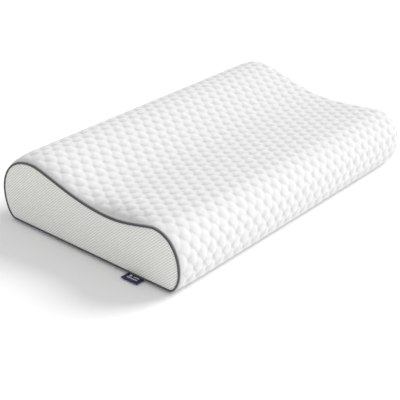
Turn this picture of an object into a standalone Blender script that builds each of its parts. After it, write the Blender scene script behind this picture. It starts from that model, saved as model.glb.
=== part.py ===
"""Contour bed pillow: a moulded foam core in a thin liner, inside a quilted knit cover with piped
mesh end panels and a zip along the lower rear. Metres, Z up. X runs along the pillow, with the
labelled end at -X. Y runs from the low front lobe to the tall rear lobe. The origin is the middle
of the base."""

import math

import bmesh
import bpy
import numpy as np
from mathutils import Matrix, Vector
from mathutils.geometry import interpolate_bezier

# Overall sizes
LENGTH = 0.596  # from end seam to end seam
DEPTH = 0.387  # front to rear
TALL_HEIGHT = 0.1264
LOW_HEIGHT = 0.0985
VALLEY_HEIGHT = 0.0945

# Where the middle section turns
TALL_CREST_FROM_REAR = 0.0767
LOW_CREST_FROM_FRONT = 0.0541
VALLEY_FROM_FRONT = 0.1628
REAR_MIDDLE_Z = 0.050
FRONT_MIDDLE_Z = 0.041
BASE_REAR_MARGIN = 0.028  # the flat base stops this far inside the rear
BASE_FRONT_MARGIN = 0.022

# The outline of the ends, which the cover draws in to
END_LENGTH = 0.040  # the length over which it does
END_REAR_INSET = 0.0053
END_FRONT_INSET = 0.0032
END_BASE_INSET = 0.003
END_TALL_HEIGHT = 0.116
END_LOW_HEIGHT = 0.0975
END_VALLEY_HEIGHT = 0.083
END_TALL_CREST_FROM_REAR = 0.0732
END_LOW_CREST_FROM_FRONT = 0.0492
END_VALLEY_FROM_FRONT = 0.1362
END_FRONT_MIDDLE_Z = 0.038
END_BASE_REAR_MARGIN = 0.0227
END_BASE_FRONT_MARGIN = 0.0207

# How far the handles of the arcs reach, as shares of each arc's width or height: from the tall
# crest, to and from the valley, to and from the low crest, and to the middle of the front
MIDDLE_LEANS = (0.27, 0.42, 0.35, 0.30, 0.58, 0.68)
END_LEANS = (0.16, 0.45, 0.39, 0.12, 0.57, 0.62)

# Fabrics and gaps
CLEARANCE = 0.0003
COVER_THICKNESS = 0.004
LINER_THICKNESS = 0.001
PANEL_THICKNESS = 0.0025
PANEL_CROWN = 0.004
LABEL_THICKNESS = 0.0008

# Piping
PIPING_CORD_RADIUS = 0.00095
PIPING_TAPE_THICKNESS = 0.0004
PIPING_FLANGE = 0.004
PIPING_SEAM_ROOM = 0.00103  # from the cover's inner face to the tape's edges, at the end seam
PIPING_SIDES = 6

# Zip
ZIP_LENGTH = 0.470  # between the stops
ZIP_TAPE_WIDTH = 0.014
ZIP_TAPE_THICKNESS = 0.0006
ZIP_TAPE_TAIL = 0.014  # tape beyond each stop
ZIP_SLOT_ROOM = 0.0008  # between the slider and each edge of the slot
COIL_WIDTH = 0.00245
COIL_HEIGHT = 0.0022
COIL_GAP = 0.0011  # between the two rows, for the slider's web
STOP_LENGTH = 0.003
STOP_RISE = 0.0003  # a stop stands this much prouder than the coil
SLIDER_LENGTH = 0.0112
SLIDER_WIDTH = 0.0096
SLIDER_TAIL_WIDTH = 0.0080
SLIDER_TOP = 0.0012
SLIDER_BOTTOM = 0.0008
SLIDER_FLANGE = 0.0013
SLIDER_WEB_LENGTH = 0.003
BAIL_LENGTH = 0.0064
BAIL_WIDTH = 0.0016
BAIL_BAR = 0.0008
BAIL_HOLE_HEIGHT = 0.0015
TAB_LENGTH = 0.024
TAB_THICKNESS = 0.0009
TAB_NECK_WIDTH = 0.0054
TAB_END_WIDTH = 0.0074
TAB_WINDOW_WIDTH = 0.0026

# Labels
SIDE_LABEL_WIDTH = 0.032
SIDE_LABEL_LENGTH = 0.018
SIDE_LABEL_FROM_FRONT = 0.0885
CARE_LABEL_WIDTH = 0.030
CARE_LABEL_LENGTH = 0.038
CARE_LABEL_THICKNESS = 0.00025
CARE_LABEL_FROM_STOP = 0.060

# Depths below the cover's outer face
TAPE_DEPTH = COVER_THICKNESS + CLEARANCE
COIL_TOP_DEPTH = TAPE_DEPTH - CLEARANCE - COIL_HEIGHT
CARE_LABEL_DEPTH = TAPE_DEPTH + ZIP_TAPE_THICKNESS + CLEARANCE
SLIDER_BOTTOM_DEPTH = TAPE_DEPTH + ZIP_TAPE_THICKNESS + 2 * CLEARANCE
LINER_DEPTH = SLIDER_BOTTOM_DEPTH + SLIDER_BOTTOM + CLEARANCE
CORE_DEPTH = LINER_DEPTH + LINER_THICKNESS + CLEARANCE

ZIP_SLOT_HEIGHT = SLIDER_WIDTH + 2 * ZIP_SLOT_ROOM

# Places along X, measured inwards from the end seam
PIPING_RADIUS = PIPING_CORD_RADIUS + CLEARANCE + PIPING_TAPE_THICKNESS
PIPING_OUTBOARD = PIPING_RADIUS + CLEARANCE
PANEL_OUTBOARD = 0.0015
PANEL_EDGE_INSET = 2 * PIPING_RADIUS + 0.0011
LINER_END_INBOARD = PIPING_FLANGE + 2 * PIPING_RADIUS
CORE_END_INBOARD = LINER_END_INBOARD + LINER_THICKNESS + CLEARANCE

PROFILE_STEPS = (8, 10, 6, 8, 6, 1, 6)
FINE = 8  # fine samples for each step of the profile


def outline(rear_middle, tall, valley, low, front_middle, base_front, base_rear, leans):
    """Points and outward normals round a section, counter-clockwise as seen from +X."""
    up = Vector((0, 1))
    across = Vector((1, 0))
    tall_out, valley_in, valley_out, low_in, low_out, front_in = leans
    arcs = (
        (rear_middle, up * 0.46, across * 0.70, tall),
        (tall, across * -tall_out, across * valley_in, valley),
        (valley, across * -valley_out, across * low_in, low),
        (low, across * -low_out, up * front_in, front_middle),
        (front_middle, up * -0.52, across * -0.52, base_front),
        (base_front, across * 0.3, across * -0.3, base_rear),
        (base_rear, across * 0.55, up * -0.54, rear_middle),
    )
    points = []
    for (start, leave, arrive, end), steps in zip(arcs, PROFILE_STEPS):
        reach = Vector((abs(end[0] - start[0]), abs(end[1] - start[1])))
        leaving = Vector(start) + leave * reach
        arriving = Vector(end) + arrive * reach
        arc = interpolate_bezier(Vector(start), leaving, arriving, Vector(end), steps * FINE + 1)
        points += [(point.x, point.y) for point in arc[:-1]]
    points = np.array(points)
    tangents = np.roll(points, -1, axis=0) - np.roll(points, 1, axis=0)
    tangents /= np.linalg.norm(tangents, axis=1)[:, None]
    return points, np.stack([tangents[:, 1], -tangents[:, 0]], axis=1)


def middle_outline():
    rear = DEPTH / 2
    front = -DEPTH / 2
    return outline(
        (rear, REAR_MIDDLE_Z),
        (rear - TALL_CREST_FROM_REAR, TALL_HEIGHT),
        (front + VALLEY_FROM_FRONT, VALLEY_HEIGHT),
        (front + LOW_CREST_FROM_FRONT, LOW_HEIGHT),
        (front, FRONT_MIDDLE_Z),
        (front + BASE_FRONT_MARGIN, 0),
        (rear - BASE_REAR_MARGIN, 0),
        MIDDLE_LEANS,
    )


def end_outline():
    rear = DEPTH / 2 - END_REAR_INSET
    front = -DEPTH / 2 + END_FRONT_INSET
    return outline(
        (rear, REAR_MIDDLE_Z),
        (rear - END_TALL_CREST_FROM_REAR, END_TALL_HEIGHT),
        (front + END_VALLEY_FROM_FRONT, END_VALLEY_HEIGHT),
        (front + END_LOW_CREST_FROM_FRONT, END_LOW_HEIGHT),
        (front, END_FRONT_MIDDLE_Z),
        (front + END_BASE_FRONT_MARGIN, END_BASE_INSET),
        (rear - END_BASE_REAR_MARGIN, END_BASE_INSET),
        END_LEANS,
    )


def drawn_in(point, normal, other):
    """How far inwards from the point, along its normal, the other outline lies."""
    offsets = other - point
    inwards = -offsets @ normal
    aside = offsets @ np.array([-normal[1], normal[0]])
    next_inwards = np.roll(inwards, -1)
    next_aside = np.roll(aside, -1)
    crossed = (aside > 0) != (next_aside > 0)
    share = aside[crossed] / (aside[crossed] - next_aside[crossed])
    found = inwards[crossed] + share * (next_inwards[crossed] - inwards[crossed])
    return found[np.abs(found).argmin()]


class Profile:
    """The middle section's outline. A spot is its Y and Z, its outward normal's Y and Z, and how
    far in the ends are from it."""

    def __init__(self):
        points, normals = middle_outline()
        other = end_outline()[0]
        insets = np.array([drawn_in(*pair, other) for pair in zip(points, normals)])
        self.spots = np.column_stack([points, normals, insets])
        steps = np.linalg.norm(np.roll(points, -1, axis=0) - points, axis=1)
        self.girth = steps.sum()
        self.reach = np.concatenate([[0.0], np.cumsum(steps)])

    def ring(self):
        """The spots where a lengthwise edge of the cover runs."""
        return self.spots[::FINE]

    def spot(self, distance):
        """The spot this far round from the middle of the rear, upwards."""
        values = np.concatenate([self.spots, self.spots[:1]])
        return np.array([np.interp(distance % self.girth, self.reach, column) for column in values.T])


PROFILE = Profile()


def place(spot, x, depth):
    """The point this far below the cover's outer face, at a spot of the profile and a length x."""
    y, z, normal_y, normal_z, inset = spot
    near = max(0.0, min(1.0, 1 - (LENGTH / 2 - abs(x)) / END_LENGTH))
    inward = depth + near**2 * inset
    return Vector((x, y - normal_y * inward, z - normal_z * inward))


def stations(inboard, middle_count=7):
    """Lengths of the sections from one end to the other, closer together where the ends draw in."""
    end = LENGTH / 2 - inboard
    start = LENGTH / 2 - END_LENGTH
    closing = [start + (end - start) * share for share in (0.45, 0.75, 1.0)]
    middle = list(np.linspace(-start, start, middle_count))
    return [-x for x in reversed(closing)] + middle + closing


def material(name, colour, roughness, metallic=0.0):
    made = bpy.data.materials.new(name)
    made.use_nodes = True
    shader = made.node_tree.nodes["Principled BSDF"]
    shader.inputs["Base Color"].default_value = (*colour, 1.0)
    shader.inputs["Roughness"].default_value = roughness
    shader.inputs["Metallic"].default_value = metallic
    made.diffuse_color = (*colour, 1.0)
    return made


def new_object(name, mesh, finish, collection):
    obj = bpy.data.objects.new(name, mesh)
    collection.objects.link(obj)
    if finish:
        mesh.materials.append(finish)
    return obj


def surface(name, rows, finish, collection, around=False, along=False, caps=False):
    """A skin over rows of points. It joins the last point of a row to the first when around is
    set, and the last row to the first when along is set."""
    shape = bmesh.new()
    grid = [[shape.verts.new(point) for point in row] for row in rows]
    row_count = len(grid)
    point_count = len(grid[0])
    for i in range(row_count if along else row_count - 1):
        for j in range(point_count if around else point_count - 1):
            below = grid[(i + 1) % row_count]
            right = (j + 1) % point_count
            shape.faces.new((grid[i][j], grid[i][right], below[right], below[j]))
    if caps:
        shape.faces.new(reversed(grid[0]))
        shape.faces.new(grid[-1])
    bmesh.ops.remove_doubles(shape, verts=shape.verts, dist=1e-6)
    mesh = bpy.data.meshes.new(name)
    shape.to_mesh(mesh)
    shape.free()
    mesh.shade_smooth()
    mesh.set_sharp_from_angle(angle=math.radians(40))
    return new_object(name, mesh, finish, collection)


def thicken(obj, thickness):
    """Gives the skin a wall on its inner side."""
    wall = obj.modifiers.new("wall", "SOLIDIFY")
    wall.thickness = thickness
    wall.offset = -1
    return obj


def block(name, low, high, finish, collection, bevel=0.0):
    """A box between two corners, with rounded edges when bevel is set."""
    shape = bmesh.new()
    size = [b - a for a, b in zip(low, high)]
    centre = [(a + b) / 2 for a, b in zip(low, high)]
    bmesh.ops.create_cube(shape, size=1, matrix=Matrix.Translation(centre) @ Matrix.Diagonal((*size, 1)))
    mesh = bpy.data.meshes.new(name)
    shape.to_mesh(mesh)
    shape.free()
    obj = new_object(name, mesh, finish, collection)
    if bevel:
        edges = obj.modifiers.new("edges", "BEVEL")
        edges.width = bevel
        edges.segments = 2
    return obj


def combine(obj, other, operation):
    cut = obj.modifiers.new(other.name, "BOOLEAN")
    cut.operation = operation
    cut.object = other
    other.hide_render = True
    other.display_type = "WIRE"


def wrap(name, depth, thickness, inboard, finish, collection):
    """A fabric sleeve round the whole profile, open at both ends."""
    rows = [[place(spot, x, depth) for spot in PROFILE.ring()] for x in stations(inboard)]
    return thicken(surface(name, rows, finish, collection, around=True), thickness)


def cover_sleeve(finish, collection, cutters):
    sleeve = wrap("cover_sleeve", 0.0, COVER_THICKNESS, 0.0, finish, collection)
    half_length = ZIP_LENGTH / 2 + STOP_LENGTH + ZIP_SLOT_HEIGHT / 2
    half_height = ZIP_SLOT_HEIGHT / 2
    low = (-half_length, DEPTH / 2 - 2 * COVER_THICKNESS, REAR_MIDDLE_Z - half_height)
    high = (half_length, DEPTH / 2 + COVER_THICKNESS, REAR_MIDDLE_Z + half_height)
    slot = block("zip_slot", low, high, None, cutters)
    combine(sleeve, slot, "DIFFERENCE")


def foam_core(finish, collection):
    rows = [[place(spot, x, CORE_DEPTH) for spot in PROFILE.ring()] for x in stations(CORE_END_INBOARD)]
    surface("foam_core", rows, finish, collection, around=True, caps=True)


def end_sheet(name, side, x, inset, crown, thickness, finish, collection):
    """A sheet that fills an end of the cover, crowned outwards. Its columns run up from the base
    edge to the top edge."""
    columns = 18
    rows = 5
    ring = [place(spot, side * LENGTH / 2, inset) for spot in PROFILE.ring()]
    rearmost = max(range(len(ring)), key=lambda i: ring[i].y)
    ring = ring[rearmost:] + ring[:rearmost]
    foremost = min(range(len(ring)), key=lambda i: ring[i].y)
    top = list(reversed(ring[: foremost + 1]))
    base = ring[foremost:] + ring[:1]
    grid = []
    for column in range(columns + 1):
        share = (1 - math.cos(math.pi * column / columns)) / 2
        y = ring[foremost].y + share * (ring[0].y - ring[foremost].y)
        low = np.interp(y, [point.y for point in base], [point.z for point in base])
        high = np.interp(y, [point.y for point in top], [point.z for point in top])
        line = []
        for row in range(rows + 1):
            rise = row / rows
            bulge = crown * (1 - (2 * rise - 1) ** 2) * (1 - (2 * share - 1) ** 4)
            line.append(Vector((x + side * bulge, y, low + rise * (high - low))))
        grid.append(line)
    if side > 0:
        grid.reverse()
    thicken(surface(name, grid, finish, collection), thickness)


def piping(side, end, tape_finish, cord_finish, collection):
    """Fabric tape folded round a filler cord, with its two edges running into the seam."""
    middle = PIPING_RADIUS - PIPING_TAPE_THICKNESS
    x = side * (LENGTH / 2 + PIPING_OUTBOARD)
    ring = PROFILE.ring()

    def point(spot, radial, outboard):
        moved = place(spot, side * LENGTH / 2, PIPING_RADIUS - radial)
        return Vector((x + side * outboard, moved.y, moved.z))

    gap_angle = math.asin(CLEARANCE * 0.7 / middle)
    seam_reach = COVER_THICKNESS + PIPING_SEAM_ROOM - PIPING_RADIUS
    seam_angle = math.pi + math.atan2(PIPING_OUTBOARD, seam_reach)
    section = []
    for i in range(PIPING_SIDES + 1):
        turn = seam_angle + gap_angle + (2 * math.pi - 2 * gap_angle) * i / PIPING_SIDES
        section.append((middle * math.cos(turn), middle * math.sin(turn)))
    along = (PIPING_FLANGE * math.cos(seam_angle), PIPING_FLANGE * math.sin(seam_angle))
    section.insert(0, (section[0][0] + along[0], section[0][1] + along[1]))
    section.append((section[-1][0] + along[0], section[-1][1] + along[1]))
    if side > 0:
        section.reverse()
    rows = [[point(spot, *step) for step in section] for spot in ring]
    tape = surface(f"piping_tape_{end}", rows, tape_finish, collection, along=True)
    thicken(tape, PIPING_TAPE_THICKNESS).modifiers["wall"].offset = 1

    circle = []
    for i in range(PIPING_SIDES):
        turn = 2 * math.pi * i / PIPING_SIDES
        circle.append((PIPING_CORD_RADIUS * math.cos(turn), PIPING_CORD_RADIUS * math.sin(turn)))
    if side > 0:
        circle.reverse()
    rows = [[point(spot, *step) for step in circle] for spot in ring]
    surface(f"piping_cord_{end}", rows, cord_finish, collection, around=True, along=True)


def strip(name, x_low, x_high, start, stop, depth, thickness, finish, collection, steps=4):
    """A flat tape that follows the rear of the pillow between two heights round the profile."""
    spots = [PROFILE.spot(start + (stop - start) * i / steps) for i in range(steps + 1)]
    rows = [[place(spot, x, depth) for spot in spots] for x in (x_low, x_high)]
    return thicken(surface(name, rows, finish, collection), thickness)


def zip_rows(tape_finish, coil_finish, stop_finish, collection):
    stop_inner = ZIP_LENGTH / 2
    tape_end = stop_inner + STOP_LENGTH + ZIP_TAPE_TAIL
    rear = DEPTH / 2
    inner = COIL_GAP / 2
    outer = inner + COIL_WIDTH
    for name, sign in (("upper", 1), ("lower", -1)):
        reach = sorted((sign * inner, sign * (inner + ZIP_TAPE_WIDTH)))
        strip(
            f"zip_tape_{name}", -tape_end, tape_end, *reach, TAPE_DEPTH, ZIP_TAPE_THICKNESS,
            tape_finish, collection,
        )
        z_low, z_high = sorted((REAR_MIDDLE_Z + sign * inner, REAR_MIDDLE_Z + sign * outer))
        low = (-stop_inner, rear - COIL_TOP_DEPTH - COIL_HEIGHT, z_low)
        high = (stop_inner, rear - COIL_TOP_DEPTH, z_high)
        block(f"zip_coil_{name}", low, high, coil_finish, collection, COIL_HEIGHT / 4)
        low = (-stop_inner - CLEARANCE - STOP_LENGTH, low[1], z_low)
        high = (-stop_inner - CLEARANCE, high[1] + STOP_RISE, z_high)
        block(f"zip_top_stop_{name}", low, high, stop_finish, collection, COIL_HEIGHT / 5)
    low = (stop_inner + CLEARANCE, rear - COIL_TOP_DEPTH - COIL_HEIGHT, REAR_MIDDLE_Z - outer)
    high = (low[0] + STOP_LENGTH, rear - COIL_TOP_DEPTH + STOP_RISE, REAR_MIDDLE_Z + outer)
    block("zip_bottom_stop", low, high, stop_finish, collection, COIL_HEIGHT / 5)


def extruded(name, outlines, thickness, finish, collection):
    """A flat plate from closed outlines in X and Z, the first one outside, centred on y = 0."""
    curve = bpy.data.curves.new(name, "CURVE")
    curve.dimensions = "2D"
    curve.fill_mode = "BOTH"
    curve.extrude = thickness / 2
    for outline in outlines:
        line = curve.splines.new("POLY")
        line.use_cyclic_u = True
        line.points.add(len(outline) - 1)
        for target, (x, z) in zip(line.points, outline):
            target.co = (x, z, 0.0, 1.0)
    obj = new_object(name, curve, finish, collection)
    obj.rotation_euler = (math.radians(90), 0.0, 0.0)
    return obj


def to_mesh_object(obj, collection):
    """The curve object's shape as a mesh object of the same name and place, with its caps welded."""
    name = obj.name
    bpy.context.view_layer.update()
    graph = bpy.context.evaluated_depsgraph_get()
    mesh = bpy.data.meshes.new_from_object(obj.evaluated_get(graph))
    shape = bmesh.new()
    shape.from_mesh(mesh)
    bmesh.ops.remove_doubles(shape, verts=shape.verts, dist=1e-6)
    shape.to_mesh(mesh)
    shape.free()
    matrix = obj.matrix_world.copy()
    bpy.data.objects.remove(obj)
    made = bpy.data.objects.new(name, mesh)
    made.matrix_world = matrix
    collection.objects.link(made)
    return made


def slider_plate(name, y_low, y_high, finish, collection):
    """A plate of the slider, wide at the head and narrower at the tail, with cut-off corners."""
    half = SLIDER_LENGTH / 2
    head = SLIDER_WIDTH / 2
    tail = SLIDER_TAIL_WIDTH / 2
    corner = SLIDER_WIDTH / 6
    side = [(-half, head - corner), (corner - half, head), (half - corner, tail), (half, tail - corner)]
    outline = side + [(x, -z) for x, z in reversed(side)]
    plate = extruded(name, [outline], y_high - y_low, finish, collection)
    plate.location.y = (y_low + y_high) / 2
    return to_mesh_object(plate, collection)


def zip_slider(finish, collection, cutters):
    """The slider's origin is on the tab's hinge, above its outer plate."""
    hinge_height = CLEARANCE + BAIL_HOLE_HEIGHT / 2
    top_depth = COIL_TOP_DEPTH - CLEARANCE - SLIDER_TOP
    top = -hinge_height
    bottom = top - (SLIDER_BOTTOM_DEPTH - top_depth)
    web = COIL_GAP / 2 - CLEARANCE
    head = -SLIDER_LENGTH / 2
    inside = COIL_GAP / 2 + COIL_WIDTH + CLEARANCE
    flange_bottom = top - (TAPE_DEPTH - 2 * CLEARANCE - top_depth)
    overlap = SLIDER_BOTTOM / 4

    body = slider_plate("zip_slider", top - SLIDER_TOP, top, None, collection)
    body.data.materials.append(finish)
    lower = slider_plate("slider_lower", bottom - SLIDER_BOTTOM, bottom, None, cutters)
    pieces = [lower]
    low = (head + SLIDER_WIDTH / 6, bottom - overlap, -web)
    high = (low[0] + SLIDER_WEB_LENGTH, top - overlap, web)
    pieces.append(block("slider_web", low, high, None, cutters))
    tail = SLIDER_LENGTH / 2 - SLIDER_WIDTH / 4
    for name, sign in (("upper", 1), ("lower", -1)):
        z_low, z_high = sorted((sign * inside, sign * (SLIDER_TAIL_WIDTH / 2 + CLEARANCE / 4)))
        low = (head + SLIDER_WIDTH / 4, flange_bottom, z_low)
        high = (tail, top - overlap, z_high)
        pieces.append(block(f"slider_flange_{name}", low, high, None, cutters))
    arch_top = hinge_height - CLEARANCE + BAIL_BAR
    half = BAIL_LENGTH / 2
    low = (-half, top - overlap, -BAIL_WIDTH / 2)
    high = (half, arch_top, BAIL_WIDTH / 2)
    arch = block("slider_bail", low, high, None, cutters)
    low = (BAIL_BAR - half, top + CLEARANCE, -BAIL_WIDTH)
    high = (half - BAIL_BAR, arch_top - BAIL_BAR, BAIL_WIDTH)
    hole = block("bail_hole", low, high, None, cutters)
    combine(arch, hole, "DIFFERENCE")
    pieces.append(arch)
    for piece in pieces:
        combine(body, piece, "UNION")

    x = -ZIP_LENGTH / 2 + CLEARANCE + SLIDER_LENGTH / 2
    hinge = bpy.data.objects.new("zip_slider_hinge", None)
    hinge.location = (x, DEPTH / 2 - top_depth + hinge_height, REAR_MIDDLE_Z)
    collection.objects.link(hinge)
    for piece in [body, hole, *pieces]:
        piece.parent = hinge
    return hinge


def zip_pull_tab(hinge, finish, collection):
    """A flat tab whose end bar turns in the slider's bail."""
    bar = TAB_THICKNESS / 2
    neck = TAB_NECK_WIDTH / 2
    end = TAB_END_WIDTH / 2
    window = TAB_WINDOW_WIDTH / 2
    window_end = BAIL_LENGTH / 2 + TAB_THICKNESS + CLEARANCE
    round_count = 8
    centre = TAB_LENGTH - bar - end
    outline = [(-bar, -neck), (window_end + bar, -neck)]
    for i in range(round_count + 1):
        turn = math.pi * (i / round_count - 0.5)
        outline.append((centre + end * math.cos(turn), end * math.sin(turn)))
    outline += [(window_end + bar, neck), (-bar, neck)]
    hole = [(bar, -window), (bar, window), (window_end, window), (window_end, -window)]
    tab = extruded("zip_pull_tab", [outline, hole], TAB_THICKNESS, finish, collection)
    tab.parent = hinge


def side_label(finish, collection):
    """A woven label caught in the left end seam, lying out from under the piping."""
    start = -LENGTH / 2 - CLEARANCE
    under = END_BASE_INSET - CLEARANCE - LABEL_THICKNESS
    y = -DEPTH / 2 + SIDE_LABEL_FROM_FRONT
    half = SIDE_LABEL_WIDTH / 2
    steps = 4
    rows = []
    for i in range(steps + 1):
        share = i / steps
        top = CLEARANCE + LABEL_THICKNESS + (under - CLEARANCE) * (1 - share) ** 2
        x = start - SIDE_LABEL_LENGTH * share
        rows.append([Vector((x, y - half, top)), Vector((x, y + half, top))])
    thicken(surface("side_label", rows, finish, collection), LABEL_THICKNESS)


def care_label(finish, collection):
    """A soft label sewn to the inside of the lower zip tape, hanging down inside the cover."""
    x_low = -ZIP_LENGTH / 2 + CARE_LABEL_FROM_STOP
    start = -COIL_GAP / 2 - ZIP_TAPE_WIDTH / 2
    strip(
        "care_label", x_low, x_low + CARE_LABEL_WIDTH, start - CARE_LABEL_LENGTH, start,
        CARE_LABEL_DEPTH, CARE_LABEL_THICKNESS, finish, collection, steps=6,
    )


def main():
    for obj in list(bpy.data.objects):
        bpy.data.objects.remove(obj)
    scene = bpy.context.scene
    pillow = bpy.data.collections.new("contour_pillow")
    cutters = bpy.data.collections.new("cutters")
    scene.collection.children.link(pillow)
    scene.collection.children.link(cutters)

    quilt = material("quilted_knit", (0.86, 0.86, 0.86), 0.9)
    mesh_cloth = material("spacer_mesh", (0.62, 0.62, 0.60), 0.9)
    piping_cloth = material("piping_cloth", (0.07, 0.075, 0.08), 0.85)
    filler = material("piping_filler", (0.75, 0.75, 0.72), 0.9)
    liner = material("liner_knit", (0.80, 0.80, 0.79), 0.9)
    foam = material("memory_foam", (0.83, 0.80, 0.70), 0.95)
    zip_cloth = material("zip_cloth", (0.82, 0.82, 0.81), 0.85)
    nylon = material("nylon_coil", (0.80, 0.80, 0.80), 0.4)
    enamel = material("slider_enamel", (0.80, 0.80, 0.80), 0.35, 0.3)
    navy = material("navy_label", (0.01, 0.014, 0.06), 0.8)
    satin = material("care_label_satin", (0.85, 0.85, 0.84), 0.5)

    foam_core(foam, pillow)
    wrap("inner_liner_wrap", LINER_DEPTH, LINER_THICKNESS, CORE_END_INBOARD, liner, pillow)
    cover_sleeve(quilt, pillow, cutters)
    for side, end in ((-1, "left"), (1, "right")):
        liner_x = side * (LENGTH / 2 - LINER_END_INBOARD)
        name = f"inner_liner_{end}_end"
        end_sheet(name, side, liner_x, LINER_DEPTH, 0.0, LINER_THICKNESS, liner, pillow)
        panel_x = side * (LENGTH / 2 + PANEL_OUTBOARD + PANEL_THICKNESS)
        name = f"end_panel_{end}"
        end_sheet(name, side, panel_x, PANEL_EDGE_INSET, PANEL_CROWN, PANEL_THICKNESS, mesh_cloth, pillow)
        piping(side, end, piping_cloth, filler, pillow)
    zip_rows(zip_cloth, nylon, enamel, pillow)
    hinge = zip_slider(enamel, pillow, cutters)
    zip_pull_tab(hinge, enamel, pillow)
    side_label(navy, pillow)
    care_label(satin, pillow)


main()
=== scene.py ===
"""Looks for the contour bed pillow: quilted knit cover, ribbed mesh ends with dark piping, a woven
side label and a nylon coil zip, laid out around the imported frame."""

import math

import bpy
import numpy as np
from mathutils import Matrix, Vector
from mathutils.geometry import interpolate_bezier


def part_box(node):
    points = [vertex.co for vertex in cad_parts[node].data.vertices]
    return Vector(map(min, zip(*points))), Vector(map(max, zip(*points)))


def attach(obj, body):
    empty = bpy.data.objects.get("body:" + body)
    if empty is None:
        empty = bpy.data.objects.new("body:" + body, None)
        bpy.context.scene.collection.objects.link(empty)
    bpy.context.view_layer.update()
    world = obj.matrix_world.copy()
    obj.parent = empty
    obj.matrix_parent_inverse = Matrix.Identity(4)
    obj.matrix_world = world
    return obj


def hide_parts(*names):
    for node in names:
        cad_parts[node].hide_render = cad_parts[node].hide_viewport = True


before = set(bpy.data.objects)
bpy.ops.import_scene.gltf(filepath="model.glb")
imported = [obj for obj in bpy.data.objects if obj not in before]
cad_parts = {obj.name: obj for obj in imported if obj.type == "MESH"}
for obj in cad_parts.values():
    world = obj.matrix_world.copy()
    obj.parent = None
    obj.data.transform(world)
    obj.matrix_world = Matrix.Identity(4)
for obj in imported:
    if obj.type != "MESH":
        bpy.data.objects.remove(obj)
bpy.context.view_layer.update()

# Sizes read from the frame
COVER_LOW, COVER_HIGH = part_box("cover_sleeve")
LABEL_LOW, LABEL_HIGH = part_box("side_label")
LINER_LOW, LINER_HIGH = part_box("inner_liner_wrap")
CORE_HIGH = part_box("foam_core")[1]
HALF_LENGTH = COVER_HIGH.x
REAR = COVER_HIGH.y
FRONT = COVER_LOW.y
TALL_HEIGHT = COVER_HIGH.z
ZIP_Z = (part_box("zip_coil_upper")[0].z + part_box("zip_coil_lower")[1].z) / 2

# The middle section: the same sizes as the CAD's
LOW_HEIGHT = 0.0985
VALLEY_HEIGHT = 0.0945
TALL_CREST_FROM_REAR = 0.0767
LOW_CREST_FROM_FRONT = 0.0541
VALLEY_FROM_FRONT = 0.1628
FRONT_MIDDLE_Z = 0.041
BASE_REAR_MARGIN = 0.028
BASE_FRONT_MARGIN = 0.022
VALLEY_Y = FRONT + VALLEY_FROM_FRONT

# The outline of the ends: the same sizes as the CAD's
END_LENGTH = 0.040
END_REAR_INSET = 0.0053
END_FRONT_INSET = 0.0032
END_BASE_INSET = 0.003
END_TALL_HEIGHT = 0.116
END_LOW_HEIGHT = 0.0975
END_VALLEY_HEIGHT = 0.083
END_TALL_CREST_FROM_REAR = 0.0732
END_LOW_CREST_FROM_FRONT = 0.0492
END_VALLEY_FROM_FRONT = 0.1362
END_FRONT_MIDDLE_Z = 0.038
END_BASE_REAR_MARGIN = 0.0227
END_BASE_FRONT_MARGIN = 0.0207

# How far the handles of the arcs reach, as shares of each arc's width or height: from the tall
# crest, to and from the valley, to and from the low crest, and to the middle of the front
MIDDLE_LEANS = (0.27, 0.42, 0.35, 0.30, 0.58, 0.68)
END_LEANS = (0.16, 0.45, 0.39, 0.12, 0.57, 0.62)

# The same for the arcs that are alike in both outlines: up the rear, down the front, along the
# base and back up to the middle of the rear
REAR_RISE_LEANS = (0.46, 0.70)
FRONT_FALL_LEANS = (0.52, 0.52)
BASE_LEANS = (0.3, 0.3)
REAR_FOOT_LEANS = (0.55, 0.54)
ARC_STEPS = 200

# How unevenly the filling lies: how far the top of each lobe falls towards the right end and
# rises towards the left one, and how far the tall lobe has settled all along
LOW_LOBE_TILT = 0.0024
TALL_LOBE_TILT = -0.0012
TALL_LOBE_SETTLING = 0.0010
LOBE_BLEND = 0.05  # either side of the valley, where one lobe's tilt turns into the other's
TOP_LOW_Z = 0.06  # nothing below this height falls, and all above the next falls in full
TOP_HIGH_Z = 0.095

# The right end is fuller over the tall lobe than the left one, and slacker over the low lobe
RIGHT_END_LENGTH = 0.015
RIGHT_TALL_SHARE = 0.6
RIGHT_LOW_EXTRA = 0.0030
RIGHT_LOW_LEAST = 0.4  # the share of that extra where the face doesn't look up
RIGHT_TALL_START = 0.01  # how far behind the valley the fuller part starts, and is full
RIGHT_TALL_FULL = 0.09
RIGHT_LOW_Z = 0.01  # both begin at this height and are full at the next
RIGHT_HIGH_Z = 0.05

# Quilt
PITCH_X = 0.0215
ROW_PITCH = 0.0178
QUILT_RISE = 0.0018
QUILT_PHASE_X = -0.1852
QUILT_PHASE_Y = -0.0555  # where the row of ties next to the valley runs
PIT_WIDTH = 0.0022
PIT_LENGTH = 0.0038
TIE_SHARE = 0.62  # how much of a pit is tied down
BASE_FLATTENING = 0.55
CELL_STEPS_X = 10
CELL_STEPS_S = 8
BASE_COARSENESS = 4
WANDER_X = 0.0006
WANDER_S = 0.0005
WANDER_RISE = 0.10
END_RISE = 0.25  # the share of the rise that is left beside the end seams, and where it fades
END_RISE_FADE = (0.001, 0.014)
SLOT_RISE = 0.15  # the same beside the zip's slot
SLOT_RISE_FADE = (0.001, 0.012)
TURNED_EDGE = ((0.0000, 0.0012), (0.0012, 0.0028), (0.0040, 0.0036))  # back from the end, and depth
TURNED_SINK = 0.3

# Patch of quilt for the cloth simulation
PATCH_SCALE = 10  # units to a metre
PATCH_REPEATS = 3
PATCH_STEPS_U = 20
PATCH_STEPS_V = 32
CLOTH_FRAMES = 30

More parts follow.
